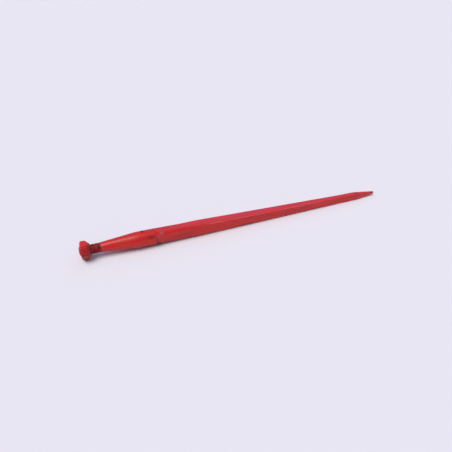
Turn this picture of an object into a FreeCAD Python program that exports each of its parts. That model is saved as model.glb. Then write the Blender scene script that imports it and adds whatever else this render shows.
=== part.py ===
"""Bale spear with a tapered shank and its nut, as a parametric FreeCAD document.

One forging and one nut. The forging runs along its own X axis, from the end of the threaded stud at
x = 0 to the point at x = overall_length: stud, conical shank, round collar, then a square bar whose
flats run out into the collar and which tapers to a blunt pyramid point.

Both pieces are laid on the ground as the spear comes to rest: on the collar and on the root of the
point, with one flat of the bar and one flat of the nut facing down. The frame has +Z up and +X
towards the point, and its origin is on the ground under the middle of the spear. Millimetres.
"""
import FreeCAD, Part
import math
import os

import Sketcher

SIZES = {
    # the whole spear
    "overall_length": 1000.0,
    # threaded stud
    "thread_diameter": 28.0,
    "thread_length": 56.0,
    "thread_lead_in": 3.5,
    # conical shank and the round collar behind it
    "cone_length": 97.0,
    "cone_blend_radius": 250.0,
    "collar_diameter": 47.2,
    "collar_length": 56.0,
    "shoulder_length": 9.0,
    "shoulder_drop": 6.3,
    "shoulder_round": 10.0,
    # square bar
    "bar_width": 39.4,
    "bar_root_overlap": 13.0,
    "bar_root_sink": 0.05,
    "bar_root_length": 76.0,
    "bar_root_corner": 7.0,
    "bar_runout_length": 123.0,
    "bar_corner": 2.5,
    # point
    "point_width": 21.4,
    "point_neck_length": 68.0,
    "point_length": 82.0,
    "point_corner": 2.0,
    "tip_width": 7.5,
    "tip_corner": 2.5,
    "tip_round": 2.0,
    "tip_end_width": 4.5,
    "tip_end_corner": 1.5,
    # nut
    "nut_across_flats": 47.0,
    "nut_height": 25.0,
    "nut_setback": 4.0,
    "nut_chamfer_width": 1.2,
    "nut_chamfer_slope": 0.577,
    "nut_seat_diameter": 33.0,
    "nut_seat_slope": 1.0,
    "nut_bore_lead_in": 1.0,
    "thread_clearance": 0.05,
}

doc = FreeCAD.newDocument("BaleSpear")


class Size:
    """A length kept twice: as a number, and as the formula over the sheet that gives it."""

    def __init__(self, number, formula):
        self.number = number
        self.formula = formula

    def __add__(self, other):
        return Size(self.number + number_of(other), "(%s + %s)" % (self.formula, formula_of(other)))

    def __sub__(self, other):
        return Size(self.number - number_of(other), "(%s - %s)" % (self.formula, formula_of(other)))

    def __mul__(self, other):
        return Size(self.number * number_of(other), "(%s * %s)" % (self.formula, formula_of(other)))

    def __truediv__(self, other):
        return Size(self.number / number_of(other), "(%s / %s)" % (self.formula, formula_of(other)))

    def __neg__(self):
        return Size(-self.number, "(0 - %s)" % self.formula)


def number_of(value):
    return value.number if isinstance(value, Size) else value


def formula_of(value):
    return value.formula if isinstance(value, Size) else "%.9g" % value


def atan(ratio):
    return Size(math.degrees(math.atan(ratio.number)), "atan(%s)" % ratio.formula)


def cos(angle):
    return Size(math.cos(math.radians(angle.number)), "cos(%s)" % angle.formula)


def sin(angle):
    return Size(math.sin(math.radians(angle.number)), "sin(%s)" % angle.formula)


ZERO = Size(0.0, "0")
DIAGONAL = math.sqrt(2)


def make_sheet():
    """Write the driving dimensions to the sheet and return them as Size values by name."""
    sheet = doc.addObject("Spreadsheet::Sheet", "Sizes")
    sizes = {}
    for row, (name, number) in enumerate(SIZES.items(), start=1):
        sheet.set("A%d" % row, name)
        sheet.set("B%d" % row, str(number))
        sheet.setAlias("B%d" % row, name)
        sizes[name] = Size(number, "Sizes." + name)
    doc.recompute()
    return sizes


def new_body(label):
    body = doc.addObject("PartDesign::Body", label)
    body.Label = label
    return body


def new_sketch(body, name, role, offset=ZERO):
    """A sketch on one of the body's own origin planes, moved along that plane's normal."""
    sketch = body.newObject("Sketcher::SketchObject", name)
    plane = [feature for feature in body.Origin.OriginFeatures if feature.Role == role][0]
    sketch.AttachmentSupport = [(plane, "")]
    sketch.MapMode = "FlatFace"
    if offset is not ZERO:
        sketch.setExpression("AttachmentOffset.Base.z", offset.formula)
    return sketch


def bind(sketch, constraint, size):
    """Add a constraint and tie its value to the sheet."""
    index = sketch.addConstraint(constraint)
    sketch.setExpression("Constraints[%d]" % index, size.formula)


def pin_point(sketch, geometry, x, y):
    """Hold the first point of a line or a point at x, y from the sketch's origin."""
    if x is ZERO:
        sketch.addConstraint(Sketcher.Constraint("PointOnObject", geometry, 1, -2))
    else:
        bind(sketch, Sketcher.Constraint("DistanceX", -1, 1, geometry, 1, x.number), x)
    if y is ZERO:
        sketch.addConstraint(Sketcher.Constraint("PointOnObject", geometry, 1, -1))
    else:
        bind(sketch, Sketcher.Constraint("DistanceY", -1, 1, geometry, 1, y.number), y)


def place_blend(before, corner, after, radius):
    """Centre and ends of the arc of this radius that touches both lines meeting in a corner."""
    back = (before - corner).normalize()
    ahead = (after - corner).normalize()
    half_turn = (math.pi - back.getAngle(ahead)) / 2
    reach = radius * math.tan(half_turn)
    centre = corner + (back + ahead).normalize() * (radius / math.cos(half_turn))
    turns_left = back.cross(ahead).z < 0
    return centre, corner + back * reach, corner + ahead * reach, turns_left


def draw_outline(sketch, corners):
    """Draw a closed outline. A corner is (x, y), or (x, y, radius) where an arc blends it."""
    count = len(corners)
    first = sketch.GeometryCount
    points = [FreeCAD.Vector(corner[0].number, corner[1].number, 0) for corner in corners]
    starts = list(points)
    ends = points[1:] + points[:1]
    blends = {}
    for i, corner in enumerate(corners):
        if len(corner) == 3:
            following = points[(i + 1) % count]
            blends[i] = place_blend(points[i - 1], points[i], following, corner[2].number)
            ends[i - 1] = blends[i][1]
            starts[i] = blends[i][2]
    for start, end in zip(starts, ends):
        sketch.addGeometry(Part.LineSegment(start, end), False)
    for i, corner in enumerate(corners):
        line = first + i
        line_before = first + (i - 1) % count
        if i not in blends:
            sketch.addConstraint(Sketcher.Constraint("Coincident", line_before, 2, line, 1))
            pin_point(sketch, line, corner[0], corner[1])
            continue
        centre, entry, leave, turns_left = blends[i]
        arc = add_arc(sketch, centre, entry, leave, turns_left)
        aim = sketch.addGeometry(Part.Point(points[i]), True)
        pin_point(sketch, aim, corner[0], corner[1])
        sketch.addConstraint(Sketcher.Constraint("PointOnObject", aim, 1, line_before))
        sketch.addConstraint(Sketcher.Constraint("PointOnObject", aim, 1, line))
        sketch.addConstraint(Sketcher.Constraint("Tangent", arc, 1 if turns_left else 2, line_before, 2))
        sketch.addConstraint(Sketcher.Constraint("Tangent", arc, 2 if turns_left else 1, line, 1))
        bind(sketch, Sketcher.Constraint("Radius", arc, corner[2].number), corner[2])


def add_arc(sketch, centre, entry, leave, turns_left):
    """Add the short arc between two points; an arc always runs anticlockwise."""
    start, end = (entry, leave) if turns_left else (leave, entry)
    start_angle = math.atan2(start.y - centre.y, start.x - centre.x)
    sweep = (start - centre).getAngle(end - centre)
    circle = Part.Circle(centre, FreeCAD.Vector(0, 0, 1), (start - centre).Length)
    return sketch.addGeometry(Part.ArcOfCircle(circle, start_angle, start_angle + sweep), False)


def draw_rounded_square(sketch, width, corner):
    """Draw a square of the given width about the sketch's origin, with equally rounded corners."""
    half = width.number / 2
    flat = half - corner.number
    normal = FreeCAD.Vector(0, 0, 1)
    turn = math.pi / 2
    for i in range(4):
        rotation = FreeCAD.Rotation(normal, 90 * i)
        start = rotation.multVec(FreeCAD.Vector(-flat, -half, 0))
        end = rotation.multVec(FreeCAD.Vector(flat, -half, 0))
        centre = rotation.multVec(FreeCAD.Vector(flat, -flat, 0))
        circle = Part.Circle(centre, normal, corner.number)
        sketch.addGeometry(Part.LineSegment(start, end), False)
        sketch.addGeometry(Part.ArcOfCircle(circle, turn * (i - 1), turn * i), False)
    for i in range(4):
        side = 2 * i
        arc = side + 1
        following = (side + 2) % 8
        sketch.addConstraint(Sketcher.Constraint("Tangent", side, 2, arc, 1))
        sketch.addConstraint(Sketcher.Constraint("Tangent", arc, 2, following, 1))
        sketch.addConstraint(Sketcher.Constraint("Horizontal" if i % 2 == 0 else "Vertical", side))
    for arc in (3, 5, 7):
        sketch.addConstraint(Sketcher.Constraint("Equal", 1, arc))
    sketch.addConstraint(Sketcher.Constraint("Symmetric", 1, 3, 5, 3, -1, 1))
    bind(sketch, Sketcher.Constraint("DistanceY", 0, 1, 4, 1, width.number), width)
    bind(sketch, Sketcher.Constraint("DistanceX", 6, 1, 2, 1, width.number), width)
    bind(sketch, Sketcher.Constraint("Radius", 1, corner.number), corner)


def revolve(body, kind, name, sketch):
    """Turn a sketch a full turn about the body's X axis, adding or cutting."""
    feature = body.newObject(kind, name)
    feature.Profile = sketch
    feature.ReferenceAxis = (sketch, ["H_Axis"])
    feature.Angle = 360.0
    sketch.Visibility = False
    doc.recompute()
    return feature


def forge_round_end(body, sizes):
    """Stud, conical shank, collar and the shoulder that the flats of the bar run out into."""
    thread_radius = sizes["thread_diameter"] / 2
    collar_radius = sizes["collar_diameter"] / 2
    cone_end = sizes["thread_length"] + sizes["cone_length"]
    collar_end = cone_end + sizes["collar_length"]
    shoulder_end = collar_end + sizes["shoulder_length"]
    profile = new_sketch(body, "RoundProfile", "XZ_Plane")
    draw_outline(profile, [
        (ZERO, ZERO),
        (ZERO, thread_radius - sizes["thread_lead_in"]),
        (sizes["thread_lead_in"], thread_radius),
        (sizes["thread_length"], thread_radius),
        (cone_end, collar_radius, sizes["cone_blend_radius"]),
        (collar_end, collar_radius, sizes["shoulder_round"]),
        (shoulder_end, collar_radius - sizes["shoulder_drop"]),
        (shoulder_end, ZERO),
    ])
    revolve(body, "PartDesign::Revolution", "RoundEnd", profile)


def forge_square_bar(body, sizes):
    """The square bar and its point, lofted through rounded squares from the collar to the tip."""
    collar_end = sizes["thread_length"] + sizes["cone_length"] + sizes["collar_length"]
    start = collar_end - sizes["bar_root_overlap"]
    root_end = collar_end + sizes["bar_root_length"]
    runout_end = collar_end + sizes["bar_runout_length"]
    point_root = sizes["overall_length"] - sizes["point_length"]
    taper_end = point_root - sizes["point_neck_length"]
    tip_start = sizes["overall_length"] - sizes["tip_round"]

    def tapered_width(place):
        gone = (place - collar_end) / (taper_end - collar_end)
        return sizes["bar_width"] - (sizes["bar_width"] - sizes["point_width"]) * gone

    # Corners so round that they reach just under the collar's skin, where the bar begins
    buried_reach = sizes["collar_diameter"] / 2 - sizes["bar_root_sink"]
    buried_corner = (tapered_width(start) / 2 * DIAGONAL - buried_reach) / (DIAGONAL - 1)
    stations = [
        (start, tapered_width(start), buried_corner),
        (root_end, tapered_width(root_end), sizes["bar_root_corner"]),
        (runout_end, tapered_width(runout_end), sizes["bar_corner"]),
        (taper_end, sizes["point_width"], sizes["point_corner"]),
        (point_root, sizes["point_width"], sizes["point_corner"]),
        (tip_start, sizes["tip_width"], sizes["tip_corner"]),
        (sizes["overall_length"], sizes["tip_end_width"], sizes["tip_end_corner"]),
    ]
    sections = []
    for number, (place, width, corner) in enumerate(stations, start=1):
        section = new_sketch(body, "BarSection%d" % number, "YZ_Plane", place)
        draw_rounded_square(section, width, corner)
        section.Visibility = False
        sections.append(section)
    doc.recompute()
    bar = body.newObject("PartDesign::AdditiveLoft", "SquareBar")
    bar.Profile = sections[0]
    bar.Sections = sections[1:]
    bar.Ruled = True
    doc.recompute()


def make_tine(sizes):
    body = new_body("bale_spear_tine")
    forge_round_end(body, sizes)
    forge_square_bar(body, sizes)
    return body


def cut_nut_edges(body, sizes):
    """Chamfer the outer end, turn the long cone on the seat end and open both ends of the bore."""
    outer = sizes["nut_setback"]
    inner = outer + sizes["nut_height"]
    beyond = sizes["nut_across_flats"] * 0.6
    outer_face = sizes["nut_across_flats"] / 2 - sizes["nut_chamfer_width"]
    seat_face = sizes["nut_seat_diameter"] / 2
    bore = sizes["thread_diameter"] / 2 + sizes["thread_clearance"]
    lead_in = sizes["nut_bore_lead_in"]
    inside = bore - lead_in
    cuts = new_sketch(body, "EdgeCuts", "XZ_Plane")
    draw_outline(cuts, [
        (outer, outer_face),
        (outer, beyond),
        (outer + (beyond - outer_face) * sizes["nut_chamfer_slope"], beyond),
    ])
    draw_outline(cuts, [
        (inner, seat_face),
        (inner, beyond),
        (inner - (beyond - seat_face) * sizes["nut_seat_slope"], beyond),
    ])
    for face, inward in ((outer, lead_in), (inner, -lead_in)):
        draw_outline(cuts, [
            (face, bore + lead_in),
            (face + inward * 2, inside),
            (face, inside),
        ])
    revolve(body, "PartDesign::Groove", "EdgeCut", cuts)


def make_nut(sizes):
    """Hex nut on the stud, one flat down, its conical seat towards the shank."""
    body = new_body("hex_nut")
    flat = sizes["nut_across_flats"] / 2
    point = flat * (2 / math.sqrt(3))
    outline = new_sketch(body, "HexOutline", "YZ_Plane", sizes["nut_setback"])
    draw_outline(outline, [
        (point, ZERO),
        (point / 2, flat),
        (-point / 2, flat),
        (-point, ZERO),
        (-point / 2, -flat),
        (point / 2, -flat),
    ])
    bore = sizes["thread_diameter"] / 2 + sizes["thread_clearance"]
    circle = Part.Circle(FreeCAD.Vector(0, 0, 0), FreeCAD.Vector(0, 0, 1), bore.number)
    hole = outline.addGeometry(circle, False)
    outline.addConstraint(Sketcher.Constraint("Coincident", hole, 3, -1, 1))
    bind(outline, Sketcher.Constraint("Radius", hole, bore.number), bore)
    blank = body.newObject("PartDesign::Pad", "HexBlank")
    blank.Profile = outline
    blank.setExpression("Length", sizes["nut_height"].formula)
    outline.Visibility = False
    doc.recompute()
    cut_nut_edges(body, sizes)
    return body


def lay_on_ground(body, sizes):
    """Tilt and lift a piece so that the collar and the root of the point both touch z = 0."""
    collar_radius = sizes["collar_diameter"] / 2
    collar_end = sizes["thread_length"] + sizes["cone_length"] + sizes["collar_length"]
    point_root = sizes["overall_length"] - sizes["point_length"]
    drop = collar_radius - sizes["point_width"] / 2
    tilt = atan(drop / (point_root - collar_end))
    stud_face_radius = sizes["thread_diameter"] / 2 - sizes["thread_lead_in"]
    near_end = -(stud_face_radius * sin(tilt))
    tip_half = sizes["tip_end_width"] / 2
    far_end = sizes["overall_length"] * cos(tilt) + tip_half * sin(tilt)
    middle = (near_end + far_end) / 2
    height = collar_end * sin(tilt) + collar_radius * cos(tilt)
    body.Placement = FreeCAD.Placement(FreeCAD.Vector(), FreeCAD.Rotation(FreeCAD.Vector(0, 1, 0), 1.0))
    body.setExpression("Placement.Rotation.Angle", tilt.formula)
    body.setExpression("Placement.Base.x", (-middle).formula)
    body.setExpression("Placement.Base.z", height.formula)


def check_document(bodies):
    """Stop before anything is written if a feature failed or a piece is not one sound solid."""
    for item in doc.Objects:
        if "Invalid" in item.State or "Error" in item.State:
            raise RuntimeError("%s failed: %s" % (item.Name, item.State))
    for body in bodies:
        if body.Shape.isNull() or not body.Shape.isValid() or len(body.Shape.Solids) != 1:
            raise RuntimeError("%s is not one valid solid" % body.Label)


def main():
    sizes = make_sheet()
    bodies = [make_tine(sizes), make_nut(sizes)]
    for body in bodies:
        lay_on_ground(body, sizes)
    doc.recompute()
    check_document(bodies)
    os.makedirs("parts", exist_ok=True)
    for body in bodies:
        body.Shape.exportStep("parts/%s.step" % body.Label)
        box = body.Shape.BoundBox
        print("%s: %.1f cm3, x %.3f to %.3f, z %.3f to %.3f" % (
            body.Label, body.Shape.Volume / 1000, box.XMin, box.XMax, box.ZMin, box.ZMax))


main()
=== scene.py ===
import math

import bpy
from mathutils import Matrix, Vector


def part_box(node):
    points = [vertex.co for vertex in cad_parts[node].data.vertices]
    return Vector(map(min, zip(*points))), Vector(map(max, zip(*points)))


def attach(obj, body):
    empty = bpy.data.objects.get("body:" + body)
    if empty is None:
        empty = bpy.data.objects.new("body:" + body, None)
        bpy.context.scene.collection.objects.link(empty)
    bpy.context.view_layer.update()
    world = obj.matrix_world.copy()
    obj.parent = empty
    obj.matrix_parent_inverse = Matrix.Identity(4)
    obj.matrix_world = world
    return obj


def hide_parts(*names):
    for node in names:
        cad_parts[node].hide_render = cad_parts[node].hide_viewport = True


# Bale spear with a tapered shank: one forging and its nut, in sprayed red enamel, lying on a pale
# floor. Both pieces are modelled straight, with the stud's end at x = 0 and the point towards +X,
# and then laid down by LAY, the tilt and lift that rest the spear on the ground. Lengths are in
# metres, and places and sizes in the materials are in millimetres on the spear's own axes.

MM = 0.001
PER_METRE = 1000.0

# How near two measures are when they count as one: places along the axis, and levels across it
SAME_PLACE = 1e-6
SAME_LEVEL = 1e-7

# How squarely a face looks along the axis when it counts as an end
END_FACING = 0.99

# Threaded stud, a fine metric thread with 60 degree flanks
THREAD_RADIUS = 14.0 * MM
THREAD_CORE = 13.1 * MM
THREAD_PITCH = 1.5 * MM
THREAD_LENGTH = 56.0 * MM
THREAD_LEAD_IN = 3.5 * MM
CORE_START = THREAD_LEAD_IN * 0.6

# The thread's tooth: its foot as a share of the pitch, how far its crest stands past the thread's
# radius, the flat on the crest, and the steps in each turn
TOOTH_FOOT_SHARE = 0.94
TOOTH_PROUD = 0.05 * MM
TOOTH_FLAT = 0.12 * MM
TOOTH_STEPS = 48

# Conical shank, collar, and the shoulder where the flats of the bar run out
CONE_END = THREAD_LENGTH + 97.0 * MM
CONE_BLEND = 250.0 * MM
COLLAR_RADIUS = 23.6 * MM
COLLAR_END = CONE_END + 56.0 * MM
SHOULDER_BACK = 1.0 * MM
SHOULDER_LENGTH = 7.0 * MM

# Square bar, its neck and the pyramid point
BAR_HALF = 19.7 * MM
BAR_BURIED_CORNER = 10.4 * MM
BAR_ROOT_CORNER = 9.0 * MM
BAR_ROOT_END = COLLAR_END + 76.0 * MM
BAR_CORNER = 4.5 * MM
BAR_RUNOUT_END = COLLAR_END + 123.0 * MM
LENGTH = 1000.0 * MM
POINT_ROOT = LENGTH - 82.0 * MM
TAPER_END = POINT_ROOT - 68.0 * MM
POINT_HALF = 10.7 * MM
POINT_CORNER = 2.5 * MM
TIP_START = LENGTH - 2.0 * MM
TIP_HALF = 3.75 * MM
TIP_CORNER = 2.5 * MM
TIP_END_HALF = 2.25 * MM
TIP_END_CORNER = 1.5 * MM
TIP_ROUND = 0.7 * MM
TIP_ROUND_SHARE = 0.85

# The edge where a slope begins is drawn over this length, and the point's faces fall by this slope
CREASE = 0.7 * MM
POINT_SLOPE = 0.087

# Slight waves in the skin of the forging
WAVE_SIZE = 45.0 * MM
WAVE_DEPTH = 0.5 * MM

# Nut
NUT_FLATS = 47.0 * MM
NUT_START = 4.0 * MM
NUT_HEIGHT = 25.0 * MM
NUT_CHAMFER_SLOPE = 0.577
NUT_FACE_RADIUS = 22.3 * MM
NUT_SEAT_RADIUS = 16.5 * MM
NUT_BLANK_RADIUS = 27.6 * MM
NUT_BORE = 14.05 * MM
NUT_EDGE = 0.6 * MM
NUT_EDGE_STEPS = 3
NUT_EDGE_ABOVE = math.radians(24)
NUT_BLANK_SEGMENTS = 130
HEXAGON_OVERLENGTH = 1.2

# How the spear lies
TILT = math.atan((COLLAR_RADIUS - POINT_HALF) / (POINT_ROOT - COLLAR_END))
LIFT = COLLAR_END * math.sin(TILT) + COLLAR_RADIUS * math.cos(TILT)

# Steps of the forging's rings: round each corner, along each flat, along the arc that ends the cone
# and along the shoulder
CORNER_STEPS = 16
FLAT_STEPS = 8
BLEND_STEPS = 6
SHOULDER_STEPS = 8

# A round ring is a square one whose corners take nearly all of its half width
ROUND_SHARE = 0.995
FLAT_SLACK = 1.01

# Rings left on the cone by turning, in millimetres apart. The real ones are finer and would not
# show, so these are drawn as coarse as they need to be.
RING_PITCH = 7.0

# Marks on the enamel, each as its centre and its reach
# Dark smears; the one at 194 mm is painted shade on the collar's front, just before the flats
SMEARS_AND_SHADE = [
    ((194, -20, 13), (13, 9, 5)),
    ((232, -18, -15), (16, 9, 5)),
    ((182, -17, -17), (20, 8, 4)),
]
# Chips of bare scale; the one at 213 mm, low at the collar's end, is a painted shadow
CHIPS_AND_SHADOW = [
    ((172, 4, 23), (5, 9, 5)),
    ((213, -16, -17), (11, 10, 8)),
    ((922, -1, 10), (8, 4, 4)),
]
# Pale scuffs on the shoulder, partly wear and partly a painted highlight on the fillet
SCUFFS_AND_HIGHLIGHTS = [
    ((224, -17, 17), (7, 8, 7)),
    ((213, -20, 12), (4, 6, 6)),
]

# Alkyd resin's index of refraction
ENAMEL_IOR = 1.5

# Camera
CAMERA_PLACE = (-0.405572, -0.840087, 0.614910)
CAMERA_TURN = (math.radians(55.962), 0.0, math.radians(-21.685))
CAMERA_LENS = 27.804
CAMERA_SENSOR = 36.0

# Floor, and light: a broad source overhead, to the left and a little forward, and a pale room
FLOOR_SIZE = 60
OVERHEAD_PLACE = (-0.75, -0.15, 1.6)
OVERHEAD_POWER = 2.3
OVERHEAD_SPREAD = math.radians(46)
OVERHEAD_COLOR = (1.0, 0.985, 0.96)
PANEL_TOWARD = (0.33, 0.74, 0.59)
PANEL_REACH = (math.radians(24), math.radians(12))

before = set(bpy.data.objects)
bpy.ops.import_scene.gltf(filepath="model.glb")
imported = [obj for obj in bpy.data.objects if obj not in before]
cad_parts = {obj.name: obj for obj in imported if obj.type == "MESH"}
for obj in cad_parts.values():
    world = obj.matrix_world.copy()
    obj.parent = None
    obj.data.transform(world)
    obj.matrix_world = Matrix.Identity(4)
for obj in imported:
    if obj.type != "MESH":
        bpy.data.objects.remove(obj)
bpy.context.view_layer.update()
TINE_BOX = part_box("bale_spear_tine")
STUD_END_X = (TINE_BOX[0].x + TINE_BOX[1].x - LENGTH * math.cos(TILT)) / 2
LAY = Matrix.Translation((STUD_END_X, 0, LIFT)) @ Matrix.Rotation(TILT, 4, "Y")


# ---------------------------------------------------------------- modelling helpers

def deselect_all():
    if bpy.context.object and bpy.context.object.mode != "OBJECT":
        bpy.ops.object.mode_set(mode="OBJECT")
    bpy.ops.object.select_all(action="DESELECT")


def make_active(piece):
    deselect_all()
    piece.select_set(True)
    bpy.context.view_layer.objects.active = piece


def edit(piece, select_mode):
    make_active(piece)
    bpy.ops.object.mode_set(mode="EDIT")
    bpy.ops.mesh.select_mode(type=select_mode)
    bpy.ops.mesh.select_all(action="DESELECT")


def pick(piece, kind, chosen):
    """Select only the vertices, edges or polygons that a test picks, and stay in edit mode."""
    bpy.ops.mesh.select_all(action="DESELECT")
    bpy.ops.object.mode_set(mode="OBJECT")
    for item in getattr(piece.data, kind):
        item.select = chosen(item)
    bpy.ops.object.mode_set(mode="EDIT")


def pick_edges(piece, chosen):
    """Select only the edges whose two end places a test picks, and stay in edit mode."""
    pick(piece, "edges", lambda edge: chosen(*(piece.data.vertices[i].co for i in edge.vertices)))


def lying_at(*places):
    """A test that picks the edges lying across the axis at any of the places."""
    def on_a_ring(first, second):
        return any(abs(first.x - at) + abs(second.x - at) < SAME_PLACE for at in places)

    return on_a_ring


def face_outward():
    """Turn all faces of the piece being edited outward, and leave edit mode."""
    bpy.ops.mesh.select_all(action="SELECT")
    bpy.ops.mesh.normals_make_consistent(inside=False)
    bpy.ops.object.mode_set(mode="OBJECT")


def apply_modifier(piece, kind, **settings):
    make_active(piece)
    modifier = piece.modifiers.new(kind.title(), kind)
    for name, value in settings.items():
        setattr(modifier, name, value)
    bpy.ops.object.modifier_apply(modifier=modifier.name)


def join(pieces, name):
    deselect_all()
    for piece in pieces:
        piece.select_set(True)
    bpy.context.view_layer.objects.active = pieces[0]
    bpy.ops.object.join()
    joined = bpy.context.object
    joined.name = name
    joined.data.name = name
    return joined


def remove(piece):
    make_active(piece)
    bpy.ops.object.delete()


def finish_piece(piece, smooth_below):
    """Face it outward, shade smooth below an angle between faces, and lay it as the spear lies."""
    edit(piece, "FACE")
    face_outward()
    bpy.ops.object.shade_smooth_by_angle(angle=math.radians(smooth_below))
    piece.matrix_world = LAY
    bpy.ops.object.transform_apply(location=True, rotation=True, scale=True)


# ---------------------------------------------------------------- the forging

def ring_across(place, half, corner):
    """One open ring across the axis: a square with rounded corners, round as corner nears half."""
    deselect_all()
    bpy.ops.mesh.primitive_plane_add(
        size=2 * half, location=(place, 0, 0), rotation=(0, math.pi / 2, 0))
    ring = bpy.context.object
    bpy.ops.object.transform_apply(location=True, rotation=True, scale=True)
    edit(ring, "VERT")
    bpy.ops.mesh.select_all(action="SELECT")
    bpy.ops.mesh.bevel(
        offset=corner, offset_type="OFFSET", segments=CORNER_STEPS, affect="VERTICES")
    bpy.ops.mesh.select_all(action="SELECT")
    bpy.ops.mesh.delete(type="ONLY_FACE")
    bpy.ops.mesh.select_mode(type="EDGE")
    level = (half - corner) * FLAT_SLACK + SAME_LEVEL

    def is_flat(first, second):
        along_y = abs(first.z - second.z) < SAME_LEVEL and max(abs(first.y), abs(second.y)) < level
        along_z = abs(first.y - second.y) < SAME_LEVEL and max(abs(first.z), abs(second.z)) < level
        return along_y or along_z

    pick_edges(ring, is_flat)
    bpy.ops.mesh.subdivide(number_cuts=FLAT_STEPS - 1)
    bpy.ops.object.mode_set(mode="OBJECT")
    return ring


def round_station(place, radius, cuts=0):
    """A round station. Each station of the forging is a place along the axis, half the width there,
    the corner's radius, and how many rings are cut between it and the station before."""
    return place, radius, radius * ROUND_SHARE, cuts


def cone_stations():
    """The cone and the long arc that blends it into the collar."""
    slope = math.atan((COLLAR_RADIUS - THREAD_RADIUS) / (CONE_END - THREAD_LENGTH))
    reach = CONE_BLEND * math.tan(slope / 2)
    stations = [
        round_station(0.0, THREAD_RADIUS - THREAD_LEAD_IN),
        round_station(CORE_START, THREAD_CORE),
        round_station(THREAD_LENGTH - CREASE, THREAD_CORE, 12),
        round_station(THREAD_LENGTH, THREAD_RADIUS),
    ]
    for step in range(BLEND_STEPS + 1):
        left = slope * (BLEND_STEPS - step) / BLEND_STEPS
        place = CONE_END + reach - CONE_BLEND * math.sin(left)
        radius = COLLAR_RADIUS - CONE_BLEND * (1 - math.cos(left))
        stations.append(round_station(place, radius, 12 if step == 0 else 0))
    return stations


def bar_half(place):
    """Half the width of the bar, which tapers evenly from the collar to the neck."""
    return BAR_HALF + (POINT_HALF - BAR_HALF) * (place - COLLAR_END) / (TAPER_END - COLLAR_END)


def shoulder_stations():
    """The round collar turning into the square bar: the flats sink in and the corners stay out."""
    start = COLLAR_END - SHOULDER_BACK
    stations = [round_station(start, COLLAR_RADIUS, 8)]
    for step in range(1, SHOULDER_STEPS + 1):
        part = step / SHOULDER_STEPS
        place = start + SHOULDER_LENGTH * part
        sunk = part * (2 - part)
        half = COLLAR_RADIUS + (bar_half(place) - COLLAR_RADIUS) * sunk
        reach = COLLAR_RADIUS + (BAR_BURIED_CORNER - COLLAR_RADIUS) * sunk
        stations.append((place, half, min(reach, half * ROUND_SHARE), 0))
    return stations


def bar_stations():
    """The long square taper, the point's pyramid and the blunt rounded tip."""
    return [
        (BAR_ROOT_END, bar_half(BAR_ROOT_END), BAR_ROOT_CORNER, 12),
        (BAR_RUNOUT_END, bar_half(BAR_RUNOUT_END), BAR_CORNER, 8),
        (TAPER_END, POINT_HALF, POINT_CORNER, 60),
        (POINT_ROOT - CREASE, POINT_HALF, POINT_CORNER, 8),
        (POINT_ROOT + CREASE, POINT_HALF - CREASE * POINT_SLOPE, POINT_CORNER, 0),
        (TIP_START, TIP_HALF, TIP_CORNER, 12),
        (LENGTH - TIP_ROUND, TIP_HALF * TIP_ROUND_SHARE, TIP_CORNER * TIP_ROUND_SHARE, 0),
        (LENGTH, TIP_END_HALF, TIP_END_CORNER, 0),
    ]


def forge_bar():
    """Bridge the rings in turn, close both ends and give the skin the slight waves of a forging."""
    stations = cone_stations() + shoulder_stations() + bar_stations()
    rings = [ring_across(place, half, corner) for place, half, corner, cuts in stations]
    bar = join(rings, "forged_bar")
    edit(bar, "EDGE")
    for (before, *_), (place, _, _, cuts) in zip(stations, stations[1:]):
        pick_edges(bar, lying_at(before, place))
        bpy.ops.mesh.bridge_edge_loops(number_cuts=cuts, interpolation="LINEAR")
    for end in (0.0, LENGTH):
        pick_edges(bar, lying_at(end))
        bpy.ops.mesh.edge_face_add()
    face_outward()
    waves = bpy.data.textures.new("forging waves", "CLOUDS")
    waves.noise_scale = WAVE_SIZE
    waves.noise_depth = 2
    apply_modifier(bar, "DISPLACE", texture=waves, strength=WAVE_DEPTH, mid_level=0.5,
                   texture_coords="LOCAL")
    return bar


def cut_thread():
    """The thread's tooth, wound along the stud by its pitch and closed at both ends."""
    side = THREAD_PITCH * TOOTH_FOOT_SHARE
    deselect_all()
    bpy.ops.mesh.primitive_circle_add(
        vertices=3, radius=side / math.sqrt(3), fill_type="NOTHING",
        location=(THREAD_LEAD_IN, 0, THREAD_RADIUS + TOOTH_PROUD - side / math.sqrt(3)),
        rotation=(math.pi / 2, 0, 0))
    tooth = bpy.context.object
    bpy.ops.object.transform_apply(location=True, rotation=True, scale=True)
    edit(tooth, "VERT")
    crest = max(vertex.co.z for vertex in tooth.data.vertices)
    pick(tooth, "vertices", lambda vertex: vertex.co.z > crest - SAME_PLACE)
    bpy.ops.mesh.bevel(offset=TOOTH_FLAT, offset_type="OFFSET", segments=1, affect="VERTICES")
    bpy.ops.object.mode_set(mode="OBJECT")
    turns = int((THREAD_LENGTH - THREAD_LEAD_IN) / THREAD_PITCH) - 1
    apply_modifier(tooth, "SCREW", axis="X", angle=2 * math.pi, screw_offset=THREAD_PITCH,
                   iterations=turns, steps=TOOTH_STEPS, render_steps=TOOTH_STEPS,
                   use_normal_calculate=True)
    edit(tooth, "EDGE")
    bpy.ops.mesh.select_non_manifold()
    bpy.ops.mesh.fill()
    bpy.ops.object.mode_set(mode="OBJECT")
    return tooth


def make_tine():
    tine = join([forge_bar(), cut_thread()], "tine_forging")
    finish_piece(tine, smooth_below=32)
    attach(tine, "root")
    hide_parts("bale_spear_tine")
    return tine


# ---------------------------------------------------------------- the nut

def looking(direction):
    """A test that picks the faces that look squarely along the axis, one way or the other."""
    return lambda face: face.normal.x * direction > END_FACING


def extrude_end(piece, direction, length, radius_before, radius_after):
    """Extrude the end cap that faces along X and narrow it, for a chamfer or a cone."""
    pick(piece, "polygons", looking(direction))
    bpy.ops.mesh.extrude_region_move(
        TRANSFORM_OT_translate={"value": (direction * length, 0, 0)})
    scale = radius_after / radius_before
    bpy.ops.transform.resize(value=(1, scale, scale))


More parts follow.
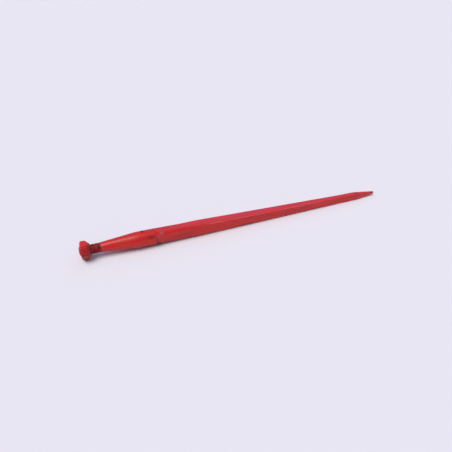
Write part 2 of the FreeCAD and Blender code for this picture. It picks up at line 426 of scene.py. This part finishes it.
def turn_blank():
    """The turned form that limits the hexagon: a chamfer outside, a long cone to the shank."""
    chamfer = (NUT_BLANK_RADIUS - NUT_FACE_RADIUS) * NUT_CHAMFER_SLOPE
    seat = NUT_BLANK_RADIUS - NUT_SEAT_RADIUS
    straight = NUT_HEIGHT - chamfer - seat
    deselect_all()
    bpy.ops.mesh.primitive_cylinder_add(
        vertices=NUT_BLANK_SEGMENTS, radius=NUT_BLANK_RADIUS, depth=straight,
        location=(NUT_START + chamfer + straight / 2, 0, 0), rotation=(0, math.pi / 2, 0))
    blank = bpy.context.object
    bpy.ops.object.transform_apply(location=True, rotation=True, scale=True)
    edit(blank, "FACE")
    extrude_end(blank, -1, chamfer, NUT_BLANK_RADIUS, NUT_FACE_RADIUS)
    extrude_end(blank, 1, seat, NUT_BLANK_RADIUS, NUT_SEAT_RADIUS)
    for direction, radius in ((-1, NUT_FACE_RADIUS), (1, NUT_SEAT_RADIUS)):
        pick(blank, "polygons", looking(direction))
        bpy.ops.mesh.inset(thickness=radius - NUT_BORE)
    ends = (NUT_START, NUT_START + NUT_HEIGHT)

    def is_bore_cap(face):
        on_end = any(abs(face.center.x - end) < SAME_PLACE for end in ends)
        return on_end and len(face.vertices) == NUT_BLANK_SEGMENTS

    pick(blank, "polygons", is_bore_cap)
    bpy.ops.mesh.bridge_edge_loops()
    face_outward()
    return blank


def make_nut():
    """A hexagon of bar, turned down to the blank's form, with its edges rounded."""
    blank = turn_blank()
    deselect_all()
    bpy.ops.mesh.primitive_cylinder_add(
        vertices=6, radius=NUT_FLATS / math.sqrt(3), depth=NUT_HEIGHT * HEXAGON_OVERLENGTH,
        location=(NUT_START + NUT_HEIGHT / 2, 0, 0), rotation=(0, math.pi / 2, 0))
    nut = bpy.context.object
    nut.name = "nut_forging"
    nut.data.name = "nut_forging"
    bpy.ops.object.transform_apply(location=True, rotation=True, scale=True)
    apply_modifier(nut, "BOOLEAN", operation="INTERSECT", object=blank, solver="EXACT")
    remove(blank)
    apply_modifier(nut, "BEVEL", width=NUT_EDGE, segments=NUT_EDGE_STEPS, limit_method="ANGLE",
                   angle_limit=NUT_EDGE_ABOVE)
    finish_piece(nut, smooth_below=30)
    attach(nut, "root")
    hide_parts("hex_nut")
    return nut


# ---------------------------------------------------------------- materials

def linear(code):
    """An sRGB hex colour as linear RGBA."""
    channels = [int(code[i:i + 2], 16) / 255 for i in (1, 3, 5)]
    values = [c / 12.92 if c <= 0.04045 else ((c + 0.055) / 1.055) ** 2.4 for c in channels]
    return (*values, 1.0)


def add(tree, kind, inputs=None, **settings):
    """Add a node with its settings; inputs maps a socket's name or number to a value or output."""
    node = tree.nodes.new("ShaderNode" + kind)
    for name, value in settings.items():
        setattr(node, name, value)
    for name, value in (inputs or {}).items():
        if isinstance(value, bpy.types.NodeSocket):
            tree.links.new(value, node.inputs[name])
        else:
            node.inputs[name].default_value = value
    return node


def new_material(name):
    material = bpy.data.materials.new(name)
    material.use_nodes = True
    tree = material.node_tree
    tree.nodes.clear()
    return material, tree


def spear_place(tree):
    """Object coordinates turned to millimetres along (x) and across (y, z) the spear's own axis."""
    coordinates = add(tree, "TexCoord")
    return add(tree, "Mapping", {
        "Vector": coordinates.outputs["Object"],
        "Location": LAY.inverted().translation * PER_METRE,
        "Rotation": (0, -TILT, 0),
        "Scale": (PER_METRE, PER_METRE, PER_METRE),
    }).outputs[0]


def noise(tree, place, stretch, detail=4):
    """Noise from 0 to 1 whose spots are about stretch millimetres long on x, y and z."""
    per_mm = tuple(1 / length for length in stretch)
    scaled = add(tree, "VectorMath", {0: place, 1: per_mm}, operation="MULTIPLY")
    return add(tree, "TexNoise", {
        "Vector": scaled.outputs[0],
        "Scale": 1.0,
        "Detail": detail,
        "Roughness": 0.55,
    }).outputs[0]


def step_between(tree, value, low, high):
    """A smooth step: 0 below low, 1 above high. It falls instead where low is above high."""
    rising = low < high
    ends = (low, high) if rising else (high, low)
    return add(tree, "MapRange", {
        "Value": value,
        "From Min": ends[0],
        "From Max": ends[1],
        "To Min": 0.0 if rising else 1.0,
        "To Max": 1.0 if rising else 0.0,
    }, interpolation_type="SMOOTHSTEP").outputs[0]


def patches(tree, place, stretch, low, high, detail=4):
    """Soft-edged patches of noise: 0 where the noise is under low, 1 where it is over high."""
    return step_between(tree, noise(tree, place, stretch, detail), low, high)


def product(tree, first, *others):
    """The product of masks, heights or shares: for masks, bright only where all of them are."""
    total = first
    for other in others:
        total = add(tree, "Math", {0: total, 1: other}, operation="MULTIPLY").outputs[0]
    return total


def paint(tree, under, code, *masks):
    """Lay a colour, given as sRGB hex, over what is under it, as thickly as the masks let it."""
    thickness = product(tree, *masks)
    mixed = add(tree, "Mix", {0: thickness, 6: under, 7: linear(code)}, data_type="RGBA")
    return mixed.outputs[2]


def spots(tree, place, marks, ragged):
    """One mask of several marks; ragged is how many waves their edges have to the millimetre."""
    rough = add(tree, "TexNoise", {"Vector": place, "Scale": ragged, "Detail": 3.0})
    shift = add(tree, "VectorMath", {0: rough.outputs[1], 1: (0.5, 0.5, 0.5)}, operation="SUBTRACT")
    total = None
    for centre, reach in marks:
        away = add(tree, "VectorMath", {0: place, 1: centre}, operation="SUBTRACT")
        per_mm = tuple(1 / length for length in reach)
        scaled = add(tree, "VectorMath", {0: away.outputs[0], 1: per_mm}, operation="MULTIPLY")
        bent = add(tree, "VectorMath", {0: scaled.outputs[0], 1: shift.outputs[0]}, operation="ADD")
        distance = add(tree, "VectorMath", {0: bent.outputs[0]}, operation="LENGTH")
        mask = step_between(tree, distance.outputs["Value"], 1.0, 0.75)
        if total is None:
            total = mask
        else:
            total = add(tree, "Math", {0: total, 1: mask}, operation="MAXIMUM").outputs[0]
    return total


def sprayed_coats(tree, place):
    """Thin and thick coats, and streaks along the bar left by rolling and by the spray's passes."""
    coats = patches(tree, place, (90, 14, 14), 0.35, 0.7)
    streaks = patches(tree, place, (60, 2.2, 2.2), 0.42, 0.68, detail=5)
    color = paint(tree, linear("#c2150f"), "#d31a12", coats)
    return paint(tree, color, "#a0120d", streaks, 0.3)


def rubbed_edges_and_highlight(tree, place):
    """A mask of the bar's rounded edges: partly wear rubbed by bales and by stacking, partly a
    painted highlight along the ridges.
    """
    along, side, height = add(tree, "SeparateXYZ", {0: place}).outputs
    across = add(tree, "Math", {0: side}, operation="ABSOLUTE").outputs[0]
    up = add(tree, "Math", {0: height}, operation="ABSOLUTE").outputs[0]
    lesser = add(tree, "Math", {0: across, 1: up}, operation="MINIMUM").outputs[0]
    greater = add(tree, "Math", {0: across, 1: up}, operation="MAXIMUM").outputs[0]
    ratio = add(tree, "Math", {0: lesser, 1: greater}, operation="DIVIDE").outputs[0]
    return product(
        tree,
        step_between(tree, ratio, 0.88, 0.97),
        step_between(tree, along, 300, 400),
        step_between(tree, along, 860, 740),
        patches(tree, place, (30, 5, 5), 0.3, 0.55))


def dirt_chips_and_painted_light(tree, place, color):
    """Painted shade at the collar's end, the tip's darker coat, smears, chips and scuffs with some
    painted light.
    """
    along, _, height = add(tree, "SeparateXYZ", {0: place}).outputs
    # Painted shade in the crease where the collar ends, darker towards the floor
    shade_in_groove = product(
        tree,
        step_between(tree, along, 205, 208),
        step_between(tree, along, 214, 210),
        step_between(tree, height, 15, 0))
    color = paint(tree, color, "#4a0f1c", shade_in_groove, 0.75)
    # Dark smears, partly painted shade on the collar's front
    color = paint(tree, color, "#560f14", spots(tree, place, SMEARS_AND_SHADE, ragged=0.12), 0.5)
    color = paint(tree, color, "#7c1214", step_between(tree, along, 978, 992), 0.7)
    # Bare scale in the chips, and one painted shadow low at the collar's end
    color = paint(tree, color, "#2c1018", spots(tree, place, CHIPS_AND_SHADOW, ragged=0.25))
    # Pale scuffs, partly wear and partly a painted highlight
    return paint(tree, color, "#a2545e", spots(tree, place, SCUFFS_AND_HIGHLIGHTS, ragged=0.2), 0.6)


def forged_skin(tree, place, along):
    """Fine orange peel, longer ripples of the forging, and turned rings on the cone."""
    peel = product(tree, noise(tree, place, (5, 3, 3), detail=2), 0.12)
    ripples = noise(tree, place, (46, 12, 12), detail=3)
    wave = add(tree, "Math", {0: product(tree, along, 2 * math.pi / RING_PITCH)}, operation="SINE")
    turned = product(tree, step_between(tree, along, 52, 58), step_between(tree, along, 128, 88))
    rings = product(tree, wave.outputs[0], turned, 0.09)
    skin = add(tree, "Math", {0: peel, 1: ripples}, operation="ADD").outputs[0]
    skin = add(tree, "Math", {0: skin, 1: rings}, operation="ADD").outputs[0]
    return add(tree, "Bump", {"Strength": 0.5, "Distance": MM, "Height": skin}).outputs[0]


def close_enamel(tree, color, roughness, normal):
    """The surface itself: pigment under a clear resin, with the gloss that is left on it."""
    shader = add(tree, "BsdfPrincipled", {
        "Base Color": color,
        "Roughness": roughness,
        "IOR": ENAMEL_IOR,
        "Normal": normal,
    })
    add(tree, "OutputMaterial", {0: shader.outputs[0]})


def make_tine_enamel():
    """Sprayed alkyd enamel on a steel forging: a warm glossy red over a skin that ripples."""
    material, tree = new_material("sprayed alkyd enamel on forged steel")
    place = spear_place(tree)
    along = add(tree, "SeparateXYZ", {0: place}).outputs[0]
    color = sprayed_coats(tree, place)
    rubbed_and_highlit = rubbed_edges_and_highlight(tree, place)
    # Pale along the rounded edges: partly rubbed wear, partly a painted highlight on the ridges
    color = paint(tree, color, "#d87a88", rubbed_and_highlit, 0.7)

    # Oil and soot in the thread, thinning out over the first rings of the cone
    thread = product(tree, step_between(tree, along, 62, 54), step_between(tree, along, 3, 6))
    oily = patches(tree, place, (8, 6, 6), 0.48, 0.62)
    color = paint(tree, color, "#93191a", thread, 0.8)
    color = paint(tree, color, "#381109", thread, oily)
    color = dirt_chips_and_painted_light(tree, place, color)

    # Glossy over most of the bar, duller in the oily thread and along the rubbed, highlit edges
    sheen = noise(tree, place, (40, 6, 6))
    gloss = add(tree, "MapRange", {"Value": sheen, "To Min": 0.24, "To Max": 0.4}).outputs[0]
    dulled = {0: product(tree, thread, 0.25), 1: product(tree, rubbed_and_highlit, 0.15)}
    dull = add(tree, "Math", dulled, operation="ADD").outputs[0]
    roughness = add(tree, "Math", {0: gloss, 1: dull}, operation="ADD").outputs[0]
    close_enamel(tree, color, roughness, forged_skin(tree, place, along))
    return material


def make_nut_enamel():
    """The nut's enamel: bright on top, with painted shade on the sides and corners, and oily
    specks.
    """
    material, tree = new_material("sprayed alkyd enamel on a steel nut")
    place = spear_place(tree)
    _, side, height = add(tree, "SeparateXYZ", {0: place}).outputs
    color = paint(tree, linear("#cc1610"), "#e01f16", patches(tree, place, (14, 14, 14), 0.35, 0.7))

    # Painted shade: the sides and underneath are darkened, as the light overhead leaves them, with
    # specks of oil and dust on them. The real specks are finer and would not show, so these are
    # drawn about 5 mm wide.
    shaded_dusty_sides = step_between(tree, height, 21, 16)
    color = paint(tree, color, "#6c1110", shaded_dusty_sides, 0.5)
    specks = patches(tree, place, (5, 5, 5), 0.5, 0.64, detail=3)
    color = paint(tree, color, "#3c1408", specks, shaded_dusty_sides, 0.6)

    # Painted shade along the six corners, by how far the turn round the axis is from the nearest
    # one
    half_flat = math.pi / 6
    turn = add(tree, "Math", {0: side, 1: height}, operation="ARCTAN2").outputs[0]
    turned = add(tree, "Math", {0: turn, 1: half_flat}, operation="ADD").outputs[0]
    beside = add(tree, "Math", {0: turned, 1: half_flat}, operation="PINGPONG").outputs[0]
    color = paint(tree, color, "#5a1012", step_between(tree, beside, 0.08, 0.03), 0.5)

    skin = noise(tree, place, (6, 6, 6), detail=5)
    bump = add(tree, "Bump", {"Strength": 0.4, "Distance": MM, "Height": skin})
    gloss = add(tree, "MapRange", {"Value": skin, "To Min": 0.3, "To Max": 0.5})
    close_enamel(tree, color, gloss.outputs[0], bump.outputs[0])
    return material


def coat(piece, material):
    piece.data.materials.clear()
    piece.data.materials.append(material)


# ---------------------------------------------------------------- floor, light and camera

def lay_floor():
    """A matt pale board, faintly lavender, that takes a soft shadow."""
    deselect_all()
    bpy.ops.mesh.primitive_plane_add(size=FLOOR_SIZE)
    floor = bpy.context.object
    floor.name = "floor"
    material, tree = new_material("matt pale lavender board")
    shader = add(tree, "BsdfPrincipled", {
        "Base Color": linear("#e4e3ea"),
        "Roughness": 0.95,
        "Specular IOR Level": 0.0,
    })
    add(tree, "OutputMaterial", {0: shader.outputs[0]})
    floor.data.materials.append(material)


def light_room():
    """A dim pale room with one soft bright panel behind the spear, which the top flats mirror."""
    world = bpy.data.worlds.new("pale studio")
    bpy.context.scene.world = world
    world.use_nodes = True
    tree = world.node_tree
    tree.nodes.clear()
    toward = add(tree, "TexCoord").outputs["Generated"]
    facing = add(tree, "VectorMath", {0: toward, 1: Vector(PANEL_TOWARD).normalized()},
                 operation="DOT_PRODUCT").outputs["Value"]
    panel = step_between(tree, facing, *(math.cos(reach) for reach in PANEL_REACH))
    color = paint(tree, linear("#a4a3ae"), "#d4ccff", panel)
    room = add(tree, "Background", {0: color, 1: 1.0})
    seen = add(tree, "Background", {0: linear("#e8e4f1"), 1: 1.0})
    to_camera = add(tree, "LightPath").outputs["Is Camera Ray"]
    both = add(tree, "MixShader", {0: to_camera, 1: room.outputs[0], 2: seen.outputs[0]})
    add(tree, "OutputWorld", {0: both.outputs[0]})


def hang_overhead_light():
    """One broad warm source aimed at the spear, which gives the soft shadow."""
    light = bpy.data.lights.new("broad light overhead", "SUN")
    light.energy = OVERHEAD_POWER
    light.angle = OVERHEAD_SPREAD
    light.color = OVERHEAD_COLOR
    lamp = bpy.data.objects.new("broad light overhead", light)
    bpy.context.scene.collection.objects.link(lamp)
    lamp.location = OVERHEAD_PLACE
    lamp.rotation_euler = (-lamp.location).to_track_quat("-Z", "Y").to_euler()


def place_camera():
    camera = bpy.data.cameras.new("camera")
    camera.lens = CAMERA_LENS
    camera.sensor_width = CAMERA_SENSOR
    holder = bpy.data.objects.new("camera", camera)
    bpy.context.scene.collection.objects.link(holder)
    holder.location = CAMERA_PLACE
    holder.rotation_euler = CAMERA_TURN
    bpy.context.scene.camera = holder


coat(make_tine(), make_tine_enamel())
coat(make_nut(), make_nut_enamel())
lay_floor()
light_room()
hang_overhead_light()
place_camera()

deselect_all()
bpy.context.scene.view_settings.view_transform = "Standard"
